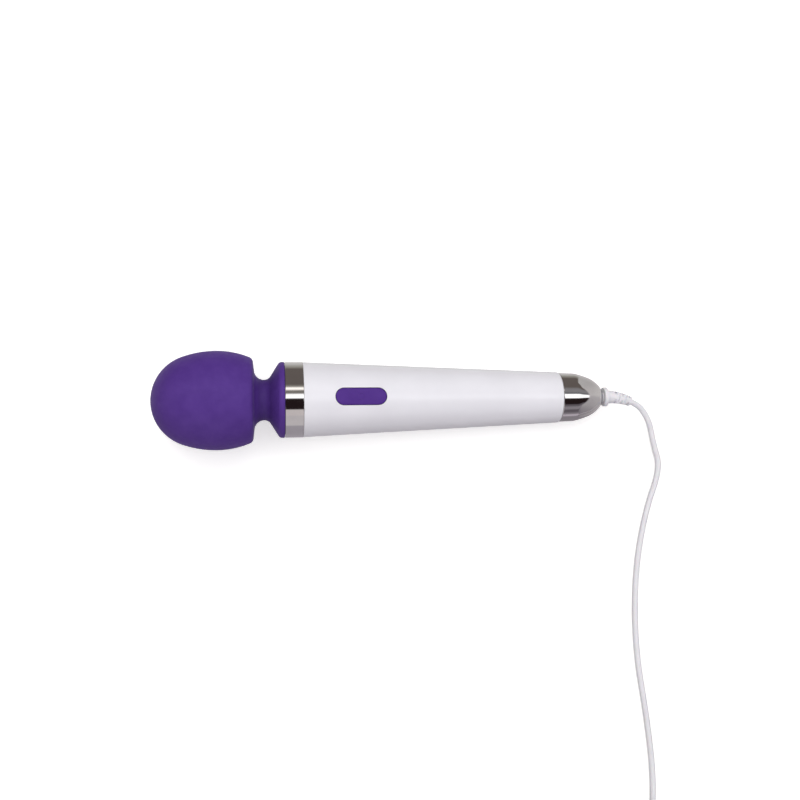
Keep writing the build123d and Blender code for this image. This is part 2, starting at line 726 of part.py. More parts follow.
wand_nodes = {
    "head_cover": head_cover,
    "head_core_front": head_core_front,
    "head_core_rear": head_core_rear,
    "head_screws": head_screws,
    "head_bearing_front": lambda: bearing(BEARING_FRONT),
    "head_bearing_rear": lambda: bearing(BEARING_REAR),
    "eccentric_shaft": eccentric_shaft,
    "eccentric_weight": eccentric_weight,
    "weight_set_screw": weight_set_screw,
    "neck_boot": neck_boot,
    "neck_spring": neck_spring,
    "drive_spring": drive_spring,
    "neck_mount": neck_mount,
    "collar_ring": collar_ring,
    "drive_coupling": drive_coupling,
    "motor_can": motor_can,
    "motor_magnets": motor_magnets,
    "motor_end_bell": motor_end_bell,
    "motor_bushings": motor_bushings,
    "motor_brushes": motor_brushes,
    "motor_shaft": motor_shaft,
    "armature": armature,
    "commutator": commutator,
    "motor_damper_front": lambda: motor_damper(108, 22.4),
    "motor_damper_rear": lambda: motor_damper(140, 21.0),
    "handle_shell_top": handle_shell_top,
    "handle_shell_bottom": handle_shell_bottom,
    "shell_screws": shell_screws,
    "button_pad": button_pad,
    "button_switch": button_switch,
    "switch_plunger": switch_plunger,
    "control_board": control_board,
    "control_board_screws": control_board_screws,
    "control_chips": control_chips,
    "power_board": power_board,
    "power_board_screws": power_board_screws,
    "filter_capacitor": filter_capacitor,
    "fuse": fuse,
    "bridge_rectifier": bridge_rectifier,
    "terminal_block": terminal_block,
    "motor_leads": motor_leads,
    "control_leads": control_leads,
    "mains_leads": mains_leads,
    "cord_end": cord_end,
    "cord_clamp_bar": cord_clamp_bar,
    "cord_clamp_screws": cord_clamp_screws,
    "end_cap": end_cap,
}
table_nodes = {
    "strain_relief": strain_relief,
    "cord_run": lambda: cord_tube("cord_run", cord_route),
    "cord_coil": cord_coil,
    "cord_tail": lambda: cord_tube("cord_tail", tail_route),
    "cord_tie": cord_tie,
    "plug_strain_relief": plug_strain_relief,
    "plug_body": plug_body,
    "plug_blades": plug_blades,
}

os.makedirs("parts", exist_ok=True)
for node, make in wand_nodes.items():
    export_step(place * make(), f"parts/{node}.step")
for node, make in table_nodes.items():
    export_step(make(), f"parts/{node}.step")

print(f"tilt {degrees(tilt):.3f} deg, lift {lift:.3f}, shift {shift:.3f}")
print(f"cord exit {tuple(round(value, 2) for value in cord_exit)}")
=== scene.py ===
import json
import math

import bpy
from mathutils import Matrix, Vector


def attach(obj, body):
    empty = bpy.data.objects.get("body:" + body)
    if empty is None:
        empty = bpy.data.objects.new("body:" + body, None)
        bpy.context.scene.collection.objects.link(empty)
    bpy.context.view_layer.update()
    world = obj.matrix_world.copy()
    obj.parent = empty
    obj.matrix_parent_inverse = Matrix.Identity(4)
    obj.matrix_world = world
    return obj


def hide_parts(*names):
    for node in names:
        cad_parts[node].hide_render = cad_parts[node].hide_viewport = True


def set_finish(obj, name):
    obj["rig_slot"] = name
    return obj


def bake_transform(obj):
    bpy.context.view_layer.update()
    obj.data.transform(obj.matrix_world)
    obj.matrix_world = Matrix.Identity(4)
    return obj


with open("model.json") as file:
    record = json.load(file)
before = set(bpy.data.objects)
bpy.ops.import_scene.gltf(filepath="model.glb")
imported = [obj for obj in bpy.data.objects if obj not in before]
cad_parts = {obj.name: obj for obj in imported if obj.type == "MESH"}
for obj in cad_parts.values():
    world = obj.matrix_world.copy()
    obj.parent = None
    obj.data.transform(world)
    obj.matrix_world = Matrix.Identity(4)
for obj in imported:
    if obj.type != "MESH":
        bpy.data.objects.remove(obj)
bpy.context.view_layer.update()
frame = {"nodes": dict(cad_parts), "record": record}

# Looks of a handheld wand massager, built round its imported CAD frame. Places on the wand come from the
# frame's collar mount. Sizes of the wand are in millimetres in its own frame: "along" is the distance
# from the tip of the head along the axis, and "out" is the distance from the axis. The cord's sizes and
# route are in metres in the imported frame.

MM = 0.001
scene = bpy.context.scene
nodes = frame["nodes"]
mounts = {mount["name"]: mount for mount in frame["record"]["mounts"]}
collar_mount = mounts["collar_clamp"]

# The wand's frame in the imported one: X along the wand towards the tail, Z out of the button.
COLLAR_MIDDLE = 94.7
axis_x = Vector(collar_mount["axis"]).normalized()
axis_y = Vector((0, 1, 0))
axis_z = axis_x.cross(axis_y)
axes = Matrix((axis_x, axis_y, axis_z)).transposed()
tip_at = Vector(collar_mount["pos_m"]) - axis_x * COLLAR_MIDDLE * MM
wand = Matrix.Translation(tip_at) @ axes.to_4x4() @ Matrix.Scale(MM, 4)


def on_wand(along, y=0.0, z=0.0):
    """A place in the wand's frame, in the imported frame."""
    return wand @ Vector((along, y, z))


# Camera -----------------------------------------------------------------------

CAMERA_AT = Vector((-0.0358, -0.0541, 0.6877))
CAMERA_TARGET = Vector((0.01335, 0.00120, 0.0))
CAMERA_ROLL = math.radians(-1.19)
FOCAL_MM = 43.56
SENSOR_MM = 36.0
NEAR_CLIP = 0.01

forward = (CAMERA_TARGET - CAMERA_AT).normalized()
right = forward.cross(Vector((0, 1, 0))).normalized()
turn = Matrix((right, right.cross(forward), -forward)).transposed().to_4x4()
camera_data = bpy.data.cameras.new("camera")
camera_data.lens = FOCAL_MM
camera_data.sensor_width = SENSOR_MM
camera_data.clip_start = NEAR_CLIP
camera = bpy.data.objects.new("camera", camera_data)
camera.matrix_world = Matrix.Translation(CAMERA_AT) @ turn @ Matrix.Rotation(CAMERA_ROLL, 4, "Z")
scene.collection.objects.link(camera)
scene.camera = camera

# Outlines ---------------------------------------------------------------------

# A point of an outline is a place and the way its surface faces: (along, out, facing along, facing out).
ARC_STEP = math.radians(4)
CORNER_STEP = math.radians(8)
TURN_STEPS = 192
SAME_PLACE = 1e-4
ON_AXIS = 1e-6
BAR_SHARP = 60
MOULDED_SHARP = 40
ALL_SMOOTH = 180


def arc(centre, radius, start, end, hollow=False):
    """An arc of an outline between two angles in degrees.

    It faces away from its centre, or towards it if hollow.
    """
    first = math.radians(start)
    sweep = math.radians(end - start)
    steps = max(2, math.ceil(abs(sweep) / ARC_STEP))
    facing = -1 if hollow else 1
    points = []
    for step in range(steps + 1):
        angle = first + sweep * step / steps
        along, out = math.cos(angle), math.sin(angle)
        place = (centre[0] + radius * along, centre[1] + radius * out)
        points.append((*place, facing * along, facing * out))
    return points


def rounded(corners, closed=True):
    """Straight runs through corners, each (along, out, rounding). The surface is on the left."""
    places = [Vector(corner[:2]) for corner in corners]
    points = []
    for index, (*_, rounding) in enumerate(corners):
        here = places[index]
        before = places[index - 1]
        after = places[(index + 1) % len(places)]
        if not closed and index == 0:
            before = here - (after - here)
        if not closed and index == len(places) - 1:
            after = here + (here - before)
        way_in = (here - before).normalized()
        way_out = (after - here).normalized()
        facing = way_in.orthogonal()
        turning = math.atan2(way_in.x * way_out.y - way_in.y * way_out.x, way_in.dot(way_out))
        if rounding == 0:
            points.append((*here, *facing))
            continue
        bulge = 1 if turning < 0 else -1
        start = here - way_in * rounding * math.tan(abs(turning) / 2)
        centre = start - facing * rounding * bulge
        steps = max(2, math.ceil(abs(turning) / CORNER_STEP))
        for step in range(steps + 1):
            now = Matrix.Rotation(turning * step / steps, 2) @ facing
            points.append((*(centre + now * rounding * bulge), *now))
    return points


def reversed_inside(points):
    """The same points run the other way, facing the other way."""
    return [(along, out, -to_tail, -outwards) for along, out, to_tail, outwards in reversed(points)]


def new_piece(name, points, faces, facings=None):
    """A smooth mesh piece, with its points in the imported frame."""
    mesh = bpy.data.meshes.new(name)
    mesh.from_pydata(points, [], faces)
    mesh.shade_smooth()
    if facings:
        mesh.normals_split_custom_set_from_vertices(facings)
    piece = bpy.data.objects.new(name, mesh)
    scene.collection.objects.link(piece)
    return piece


def turned(name, outline):
    """A closed body turned about the wand's axis. An outline that starts on the axis also ends on it."""
    rings, points, facings, faces = [], [], [], []
    last = None
    for along, out, facing_along, facing_out in outline:
        here = Vector((along, out))
        if last is not None and (here - last).length < SAME_PLACE:
            continue
        last = here
        on_axis = out < ON_AXIS
        rings.append([len(points) + (0 if on_axis else step) for step in range(TURN_STEPS)])
        for step in range(1 if on_axis else TURN_STEPS):
            angle = 2 * math.pi * step / TURN_STEPS
            across, up = math.cos(angle), math.sin(angle)
            points.append(on_wand(along, out * across, out * up))
            facings.append(axes @ Vector((facing_along, facing_out * across, facing_out * up)))
    following = rings[1:] if outline[0][1] < ON_AXIS else rings[1:] + rings[:1]
    for ring, next_ring in zip(rings, following):
        for step in range(TURN_STEPS):
            after = (step + 1) % TURN_STEPS
            corners = (ring[step], ring[after], next_ring[after], next_ring[step])
            faces.append(tuple(dict.fromkeys(corners)))
    return new_piece(name, points, faces, facings)


def closed_tube(name, rings, sharp):
    """A tube through rings of places, closed at both ends. Its edges over sharp degrees stay sharp.

    Each ring runs clockwise as it is seen from the tube's start, so that the faces point outward.
    """
    around = len(rings[0])
    points = [place for ring in rings for place in ring]
    faces = [tuple(reversed(range(around))), tuple(range(len(points) - around, len(points)))]
    for here in range(0, len(points) - around, around):
        there = here + around
        for side in range(around):
            after = (side + 1) % around
            faces.append((here + side, here + after, there + after, there + side))
    piece = new_piece(name, points, faces)
    piece.data.set_sharp_from_angle(angle=math.radians(sharp))
    return piece


def round_bar(name, middles, radius, sides):
    """A round bar, closed at both ends, whose middle runs through these places."""
    leans = [2 * math.pi * side / sides for side in range(sides)]
    rings = []
    across = None
    for step, middle in enumerate(middles):
        way = (middles[min(step + 1, len(middles) - 1)] - middles[max(step - 1, 0)]).normalized()
        across = way.orthogonal() if across is None else across - way * way.dot(across)
        across.normalize()
        over = way.cross(across)
        outwards = [across * math.cos(lean) + over * math.sin(lean) for lean in leans]
        rings.append([middle + out * radius for out in outwards])
    return closed_tube(name, rings, BAR_SHARP)


# Silicone head and neck -------------------------------------------------------

TIP_RADIUS = 31.3
HEAD_RADIUS = 33.4
HEAD_WIDEST = 43.5
REAR_CROWN = 57.0
SKIN = 3.0
SHOULDER_ROUNDING = 4.0
SKIN_REAR = 65.5
BORE = 11.7
NECK_RADIUS = 13.7
NECK_WAIST = 74.8
NECK_JOINT = 75.5
RIM_RADIUS = 25.7
RIM_REAR = 88.4
RIM_ROUNDING = 3.0
RIM_REAR_ROUNDING = 0.5

nose_step = HEAD_WIDEST - TIP_RADIUS
front_crown = (nose_step**2 + HEAD_RADIUS**2 - TIP_RADIUS**2) / (2 * (HEAD_RADIUS - TIP_RADIUS))
crown_lean = math.degrees(math.atan2(nose_step, front_crown - HEAD_RADIUS))
rear_centre = Vector((HEAD_WIDEST, HEAD_RADIUS - REAR_CROWN))

# The head's rear face and the neck's cone are straight: a place on each and the way it faces.
rear_face_at = Vector((68.5, 17.3))
rear_face = Vector((10.9, 1.2)).normalized()
cone_at = Vector((84.5, 24.8))
cone = Vector((-7.3, 4.5)).normalized()


def crown(inset, rear_angle):
    """The head's rounded outside: its tip arc, then its front and rear crowns, all tangent."""
    tip = arc((TIP_RADIUS, 0), TIP_RADIUS - inset, 180, 90 + crown_lean)
    front = arc((HEAD_WIDEST, HEAD_RADIUS - front_crown), front_crown - inset, 90 + crown_lean, 90)
    return tip + front + arc(rear_centre, REAR_CROWN - inset, 90, rear_angle)


def hollow_radius(face_at, facing):
    """Radius of the neck's hollow where it runs from the waist, level there, on to a straight face."""
    reach = Vector((NECK_WAIST, NECK_RADIUS)) - face_at
    return reach.dot(facing) / (1 - facing.y)


def hollow(radius, start, end):
    """Part of the neck's hollow, which is level at the waist."""
    return arc((NECK_WAIST, NECK_RADIUS + radius), radius, start, end, hollow=True)


def direction(vector):
    """The way a vector points, in degrees from the axis towards outward."""
    return math.degrees(math.atan2(vector.y, vector.x))


def shoulder():
    """The rounding from the rear crown to the head's rear face, and the crown's angle at its start."""
    up_the_face = Vector((-rear_face.y, rear_face.x))
    start = rear_face_at - rear_face * SHOULDER_ROUNDING - rear_centre
    slope = start.dot(up_the_face)
    reach = (REAR_CROWN - SHOULDER_ROUNDING) ** 2 - start.length_squared
    from_centre = start + up_the_face * (math.sqrt(slope**2 + reach) - slope)
    angle = direction(from_centre)
    return arc(rear_centre + from_centre, SHOULDER_ROUNDING, angle, direction(rear_face)), angle


front_hollow = hollow_radius(rear_face_at, rear_face)
rear_hollow = hollow_radius(cone_at, cone)
past_waist = math.degrees(math.asin((NECK_JOINT - NECK_WAIST) / rear_hollow))


def head_outline():
    """The head's skin down to the neck's joint, then back inside, round the head's core."""
    rounding, crown_end = shoulder()
    neck = hollow(front_hollow, direction(rear_face) + 180, 270)
    neck += hollow(rear_hollow, 270, 270 + past_waist)
    bore = [(NECK_JOINT, BORE, 0, -1), (SKIN_REAR, BORE, 0, -1)]
    inside_angle = math.degrees(math.acos((SKIN_REAR - HEAD_WIDEST) / (REAR_CROWN - SKIN)))
    return crown(0, crown_end) + rounding + neck + bore + reversed_inside(crown(SKIN, inside_angle))


def neck_outline():
    """The rest of the hollow, behind the neck's joint, the cone and its rim."""
    neck = hollow(rear_hollow, 270 + past_waist, direction(cone) + 180)
    rim_corner = cone_at.x - (RIM_RADIUS - cone_at.y) * cone.y / cone.x
    rim = rounded([
        (*neck[-1][:2], 0),
        (rim_corner, RIM_RADIUS, RIM_ROUNDING),
        (RIM_REAR, RIM_RADIUS, RIM_REAR_ROUNDING),
        (RIM_REAR, BORE, 0),
        (NECK_JOINT, BORE, 0),
    ], closed=False)
    return neck + rim


head_skin = turned("head_skin", head_outline())
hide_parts("head_cover")
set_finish(head_skin, "silicone")
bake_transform(head_skin)

neck_sleeve = turned("neck_sleeve", neck_outline())
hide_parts("neck_boot")
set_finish(neck_sleeve, "silicone_neck")
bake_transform(neck_sleeve)

# Springs inside the neck ------------------------------------------------------

# Each spring is two pieces that meet at the neck's joint: (start, end, mean radius, wire, turns).
NECK_SPRING = (66.0, 86.7, 10.0, 2.4, 6)
DRIVE_SPRING = (63.5, 94.8, 4.5, 1.8, 12)
WIRE_SIDES = 14
STEPS_PER_TURN = 32


def half_spring(name, spring, front):
    """The half of a round-wire spring in front of the neck's joint, or behind it."""
    start, end, mean_radius, thickness, turns = spring
    first, last = start + thickness / 2, end - thickness / 2
    joint = (NECK_JOINT - first) / (last - first)
    low, high = (0, joint) if front else (joint, 1)
    count = round((high - low) * turns * STEPS_PER_TURN)
    middles = []
    for step in range(count + 1):
        share = low + (high - low) * step / count
        angle = 2 * math.pi * turns * share
        y, z = mean_radius * math.cos(angle), mean_radius * math.sin(angle)
        middles.append(on_wand(first + (last - first) * share, y, z))
    return round_bar(name, middles, thickness / 2 * MM, WIRE_SIDES)


neck_spring_front = half_spring("neck_spring_front", NECK_SPRING, front=True)
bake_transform(neck_spring_front)
neck_spring_rear = half_spring("neck_spring_rear", NECK_SPRING, front=False)
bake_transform(neck_spring_rear)
drive_spring_front = half_spring("drive_spring_front", DRIVE_SPRING, front=True)
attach(drive_spring_front, "eccentric")
drive_spring_rear = half_spring("drive_spring_rear", DRIVE_SPRING, front=False)
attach(drive_spring_rear, "rotor")
springs = [neck_spring_front, neck_spring_rear, drive_spring_front, drive_spring_rear]
for half in springs:
    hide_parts("neck_spring" if half.name.startswith("neck") else "drive_spring")
    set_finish(half, "spring_steel")

# Chrome collar and end cap ----------------------------------------------------

COLLAR_RADIUS = 25.6
COLLAR_BORE = 23.4
COLLAR_SPAN = (88.6, 100.8)
COLLAR_FRONT_ROUNDING = 0.35
COLLAR_REAR_ROUNDING = 0.25
CAP_START = 279.15
CAP_RADIUS = 17.2
CAP_EDGE = 0.45
CAP_SLOPE = -2.0
SPIGOT_RADIUS = 15.4
SPIGOT_START = 268.0
SPIGOT_BORE = 13.4
SPIGOT_ROUNDING = 0.3

# The cap's outside behind its edge, as moves of a walk: the skirt and dome, then the cord's hole.
CAP_DOME = [9.7, (15.0, -12.0), (67.0, -7.5), (21.0, -39.0), (1.0, -27.5)]
CORD_HOLE = [(0.5, -92.0), 1.8]
# The cap's inside, (along, out) from the cord's hole to the spigot's bore.
CAP_INSIDE = [(309.0, 3.6), (305.5, 8.2), (300.0, 12.0), (292.0, 14.6), (281.0, SPIGOT_BORE)]


def walk(place, heading, moves):
    """An outline walked from a place, with its surface on the left.

    A move is a straight length, or (radius, turn) with the turn in degrees to the left.
    """
    points = []
    for move in moves:
        way = Vector((math.cos(math.radians(heading)), math.sin(math.radians(heading))))
        left = way.orthogonal()
        if isinstance(move, tuple):
            radius, turn_by = move
            side = math.copysign(1, turn_by)
            centre = place + left * side * radius
            first = heading - side * 90
            points += arc(centre, radius, first, first + turn_by, hollow=turn_by > 0)
            heading += turn_by
        else:
            points += [(*place, *left), (*(place + way * move), *left)]
        place = Vector(points[-1][:2])
    return points


def collar_outline():
    """A plain ring with its outer corners rounded."""
    front, rear = COLLAR_SPAN
    return rounded([
        (front, COLLAR_BORE, 0),
        (front, COLLAR_RADIUS, COLLAR_FRONT_ROUNDING),
        (rear, COLLAR_RADIUS, COLLAR_REAR_ROUNDING),
        (rear, COLLAR_BORE, 0),
    ])


def cap_outline():
    """A slightly tapered skirt, a shoulder and a dome that tightens towards the cord's hole."""
    edge = (CAP_EDGE, CAP_SLOPE - 90)
    start = Vector((CAP_START, SPIGOT_RADIUS))
    outside = walk(start, 90, [CAP_RADIUS - CAP_EDGE - SPIGOT_RADIUS, edge, *CAP_DOME, *CORD_HOLE])
    inside = rounded([
        *((*corner, 0) for corner in CAP_INSIDE),
        (SPIGOT_START, SPIGOT_BORE, 0),
        (SPIGOT_START, SPIGOT_RADIUS, SPIGOT_ROUNDING),
        (CAP_START, SPIGOT_RADIUS, 0),
    ], closed=False)
    return outside + inside[:-1]


collar = turned("collar", collar_outline())
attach(collar, "handle")
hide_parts("collar_ring")
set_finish(collar, "chrome")

cap = turned("cap", cap_outline())
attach(cap, "handle")
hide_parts("end_cap")
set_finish(cap, "chrome")

# Button -----------------------------------------------------------------------

HANDLE_START, HANDLE_END = 100.9, 278.9
HANDLE_FRONT_RADIUS, HANDLE_REAR_RADIUS = 25.45, 17.7
BUTTON_AT = 138.5
KEY_LENGTH, KEY_WIDTH = 34.0, 11.2
KEY_DEPTH = 1.9
KEY_PROUD = 0.22
KEY_CROWN = 0.16
KEY_EDGE = 1.0
KEY_EDGE_STEPS = 8
KEY_CROWN_STEPS = 7
KEY_END_STEPS = 24
# The key's last ring stops this share of a step short of its middle line.
KEY_LAST_GAP = 0.2
MARK_RADIUS = 2.1
MARK_THICKNESS = 0.2
MARK_FLATNESS = 0.7
MARK_STEPS = 64
MARK_SIDES = 12


def on_handle(along, y, proud):
    """A place over the handle's button side."""
    share = (along - HANDLE_START) / (HANDLE_END - HANDLE_START)
    radius = HANDLE_FRONT_RADIUS + (HANDLE_REAR_RADIUS - HANDLE_FRONT_RADIUS) * share + proud
    return on_wand(along, y, math.sqrt(radius**2 - y**2))


def key_profile():
    """The key's side, soft edge and crown: (how far in from its edge, how far over the handle)."""
    edge_foot = KEY_EDGE / 2
    profile = [(0.0, -KEY_DEPTH), (0.0, -edge_foot)]
    for step in range(1, KEY_EDGE_STEPS + 1):
        angle = math.radians(90) * step / KEY_EDGE_STEPS
        proud = (KEY_PROUD + edge_foot) * math.sin(angle) - edge_foot
        profile.append((KEY_EDGE * (1 - math.cos(angle)), proud))
    middle = KEY_WIDTH / 2
    for step in range(1, KEY_CROWN_STEPS + 1):
        inset = KEY_EDGE + (middle - KEY_EDGE) * step / (KEY_CROWN_STEPS + KEY_LAST_GAP)
        angle = math.radians(90) * step / KEY_CROWN_STEPS
        profile.append((inset, KEY_PROUD + KEY_CROWN * math.sin(angle)))
    return profile


def button_key():
    """A soft pad with round ends that follows the handle's curve."""
    straight = (KEY_LENGTH - KEY_WIDTH) / 2
    rings = []
    for inset, proud in key_profile():
        radius = KEY_WIDTH / 2 - inset
        ring = []
        for end in (1, -1):
            for step in range(KEY_END_STEPS + 1):
                angle = math.pi * (step / KEY_END_STEPS - 0.5)
                along = BUTTON_AT + end * (straight + radius * math.cos(angle))
                ring.append(on_handle(along, end * radius * math.sin(angle), proud))
        rings.append(ring)
    return closed_tube("button_key", rings, ALL_SMOOTH)


def button_mark():
    """A plain raised ring in the middle of the key."""
    points, faces = [], []
    for step in range(MARK_STEPS):
        angle = 2 * math.pi * step / MARK_STEPS
        here, there = step * MARK_SIDES, (step + 1) % MARK_STEPS * MARK_SIDES
        for side in range(MARK_SIDES):
            lean = 2 * math.pi * side / MARK_SIDES
            radius = MARK_RADIUS + MARK_THICKNESS * math.cos(lean)
            proud = KEY_PROUD + KEY_CROWN + MARK_THICKNESS * MARK_FLATNESS * math.sin(lean)
            along = BUTTON_AT + radius * math.cos(angle)
            points.append(on_handle(along, radius * math.sin(angle), proud))
            after = (side + 1) % MARK_SIDES
            faces.append((here + side, there + side, there + after, here + after))
    return new_piece("button_mark", points, faces)


key = button_key()
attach(key, "button")
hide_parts("button_pad")
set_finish(key, "button_silicone")
mark = button_mark()
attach(mark, "button")
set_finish(mark, "button_silicone")

# Cord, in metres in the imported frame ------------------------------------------

CORD_DIAMETER = 0.0042
CORD_FLOOR = 0.00215

# From the strain relief down to the table and along it to the put-away coil.
cord_route = [
    (0.17687, -0.00342, 0.01265),
    (0.18249, -0.00569, 0.01136),
    (0.1874, -0.0106, 0.0097),
    (0.1922, -0.0188, 0.0074),
    (0.1957, -0.0346, 0.0040),
    (0.2006, -0.0510, CORD_FLOOR),
    (0.1880, -0.0820, CORD_FLOOR),
    (0.1786, -0.1260, CORD_FLOOR),
    (0.1768, -0.1780, CORD_FLOOR),
    (0.1835, -0.2290, CORD_FLOOR),
    (0.1864, -0.2700, 0.0023),
    (0.1824, -0.3090, 0.0026),
]
# From the coil's last turn to the plug.
tail_route = [
    (0.1450, -0.3512, 0.0150),
    (0.1318, -0.3510, 0.0128),
    (0.1188, -0.34944, 0.0091),
    (0.1068, -0.34743, 0.0088),
]

# The coil is wound in flat spirals, one on another: inwards, outwards, inwards, outwards.
COIL_CENTRE = Vector((0.1528, -0.3220, 0.0026))
COIL_RADII = (0.0202, 0.0294)
COIL_LAYERS = 4
COIL_TURNS = 9.25
CLIMB_TURNS = 0.25
POINTS_PER_TURN = 16
SPLINE_STEPS = 12
CORD_SIDES = 20


def coil_points():
    """Control points of the coil's turns.

    They lie a little outside the turns' radius, by as much as the spline runs inside its control points.
    """
    inner, outer = COIL_RADII
    step_angle = 2 * math.pi / POINTS_PER_TURN
    pull_in = 0.75 + 0.25 * math.cos(step_angle)
    spiral_turns = (COIL_TURNS - (COIL_LAYERS - 1) * CLIMB_TURNS) / COIL_LAYERS
    points = []
    for step in range(round(COIL_TURNS * POINTS_PER_TURN) + 1):
        layer, along = divmod(step / POINTS_PER_TURN, spiral_turns + CLIMB_TURNS)
        across = min(along / spiral_turns, 1)
        climb = max(along - spiral_turns, 0) / CLIMB_TURNS
        inwards = across if layer % 2 == 0 else 1 - across
        radius = (outer + (inner - outer) * inwards) / pull_in
        height = (layer + climb) * CORD_DIAMETER
        angle = -step * step_angle
        points.append(COIL_CENTRE + Vector((radius * math.cos(angle), radius * math.sin(angle), height)))
    return points


def spline_places(controls):
    """Places along the NURBS spline that has these control points."""
    curve = bpy.data.curves.new("cord_centreline", "CURVE")
    curve.dimensions = "3D"
    spline = curve.splines.new("NURBS")
    spline.points.add(len(controls) - 1)
    for point, control in zip(spline.points, controls):
        point.co = (*control, 1)
    spline.order_u = 3
    spline.use_endpoint_u = True
    spline.resolution_u = SPLINE_STEPS
    holder = bpy.data.objects.new("cord_centreline", curve)
    line = bpy.data.meshes.new_from_object(holder)
    places = [vertex.co.copy() for vertex in line.vertices]
    bpy.data.meshes.remove(line)
    bpy.data.objects.remove(holder)
    bpy.data.curves.remove(curve)
    return places


cord_line = spline_places(cord_route + coil_points() + tail_route)
cord = round_bar("cord", cord_line, CORD_DIAMETER / 2, CORD_SIDES)
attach(cord, "handle")
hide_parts("cord_run", "cord_coil", "cord_tail")
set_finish(cord, "cord_white")

# Strain relief ----------------------------------------------------------------

RELIEF_ROOT = 308.0
DISC_SPAN = (312.4, 315.3)
DISC_RADIUS = 6.75
RELIEF_NECK = 3.5
RELIEF_LENGTH = 18.4
RELIEF_RADII = (4.75, 3.4)
RELIEF_YAW = math.radians(22)
RELIEF_PITCH = math.radians(12)
RELIEF_STEP = 0.1
RELIEF_SIDES = 96
RELIEF_END_ROUNDING = 0.5
SLOT_PLACES = (0.30, 0.44, 0.58, 0.72, 0.86)
SLOT_HALF_WIDTH = 0.5
SLOT_HALF_TURN = math.radians(62)
SLOT_DEPTH = 1.0
# A slot's walls slope over this much of the length, and its ends over this turn.
SLOT_WALL_SLOPE = 0.15
SLOT_END_SLOPE = 0.12
# Rings in the end's rounding that are smaller than the end's radius by more than this aren't cut.
UNDER_END_RADIUS = 0.2

relief_end_way = Vector((
    math.cos(RELIEF_PITCH) * math.cos(RELIEF_YAW),
    -math.cos(RELIEF_PITCH) * math.sin(RELIEF_YAW),
    -math.sin(RELIEF_PITCH),
))
relief_bend = axis_x.angle(relief_end_way)
relief_pivot = axis_x.cross(relief_end_way).normalized()
relief_inward = relief_pivot.cross(axis_x)


def relief_place(along):
    """The middle of the strain relief and the way it runs.

    It runs straight out of the cap, then along one arc.
    """
    if along <= DISC_SPAN[1]:
        return on_wand(along), axis_x
    angle = relief_bend * (along - DISC_SPAN[1]) / RELIEF_LENGTH
    radius = RELIEF_LENGTH / relief_bend * MM
    way = axis_x * math.cos(angle) + relief_inward * math.sin(angle)
    ahead = axis_x * radius * math.sin(angle)
    return on_wand(DISC_SPAN[1]) + ahead + relief_inward * radius * (1 - math.cos(angle)), way


def relief_profile():
    """(along, out) from the root inside the cap, over the disc, to the far end."""
    disc_start, disc_end = DISC_SPAN
    near_radius, far_radius = RELIEF_RADII
    first = rounded([
        (RELIEF_ROOT, 0, 0),
        (RELIEF_ROOT, RELIEF_NECK, 0.3),
        (disc_start, RELIEF_NECK, 0.2),
        (disc_start, DISC_RADIUS, 0.7),
        (disc_end, DISC_RADIUS, 0.7),
        (disc_end, near_radius, 0.35),
        (disc_end + 1, near_radius, 0),
    ], closed=False)
    profile = [point[:2] for point in first[1:-1]]
    edge = RELIEF_END_ROUNDING
    end = disc_end + RELIEF_LENGTH
    along = profile[-1][0] + RELIEF_STEP
    while along < end:
        share = (along - disc_end) / RELIEF_LENGTH
        into_edge = max(along - end + edge, 0)
        out = near_radius + (far_radius - near_radius) * share
        profile.append((along, out - edge + math.sqrt(edge**2 - into_edge**2)))
        along += RELIEF_STEP
    return profile + [(end, far_radius - edge), (end, CORD_DIAMETER / 2 / MM)]


def slot_depth(along, angle):
    """How deep the relief is cut here.

    Slots come in pairs, by turns at the sides and at the top and bottom.
    """
    depth = 0.0
    for index, share in enumerate(SLOT_PLACES):
        away = abs(along - DISC_SPAN[1] - share * RELIEF_LENGTH)
        off_middle = (angle - math.radians(90) * (index % 2)) % math.pi
        turned_away = min(off_middle, math.pi - off_middle)
        wall = min(max((SLOT_HALF_WIDTH - away) / SLOT_WALL_SLOPE + 0.5, 0), 1)
        end_wall = min(max((SLOT_HALF_TURN - turned_away) / SLOT_END_SLOPE, 0), 1)
        depth = max(depth, SLOT_DEPTH * wall * end_wall)
    return depth


def strain_relief():
    """A slotted sleeve on the cord, with a disc behind the cap."""
    rings = []
    for along, out in relief_profile():
        cut = out > RELIEF_RADII[1] - UNDER_END_RADIUS
        middle, way = relief_place(along)
        across = way.cross(Vector((0, 0, 1))).normalized()
        up = across.cross(way)
        ring = []
        for step in range(RELIEF_SIDES):
            angle = -2 * math.pi * step / RELIEF_SIDES
            radius = out - slot_depth(along, angle) if cut else out
            ring.append(middle + (across * math.cos(angle) + up * math.sin(angle)) * radius * MM)
        rings.append(ring)
    return closed_tube("strain_relief_moulding", rings, MOULDED_SHARP)


relief = strain_relief()
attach(relief, "handle")
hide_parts("strain_relief")
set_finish(relief, "cord_white")

# Strap round the coil ---------------------------------------------------------

STRAP_WIDTH = 6.0
STRAP_THICKNESS = 0.5
STRAP_CORNER = 3.2
STRAP_TOP = 17.6
STRAP_CLEARANCE = 0.5
STRAP_SOFTENING = 0.2
STRAP_START = -24.0
# The strap's end on top of its start, (place, height over the top run, rounding).
STRAP_LAP = [(-28.4, 0.1, 1.5), (-26.0, 0.55, 1.5), (-20.4, 0.55, 0)]
strap_outer = (COIL_RADII[1] + CORD_DIAMETER / 2) / MM + STRAP_CLEARANCE
strap_inner = (COIL_RADII[0] - CORD_DIAMETER / 2) / MM - STRAP_CLEARANCE


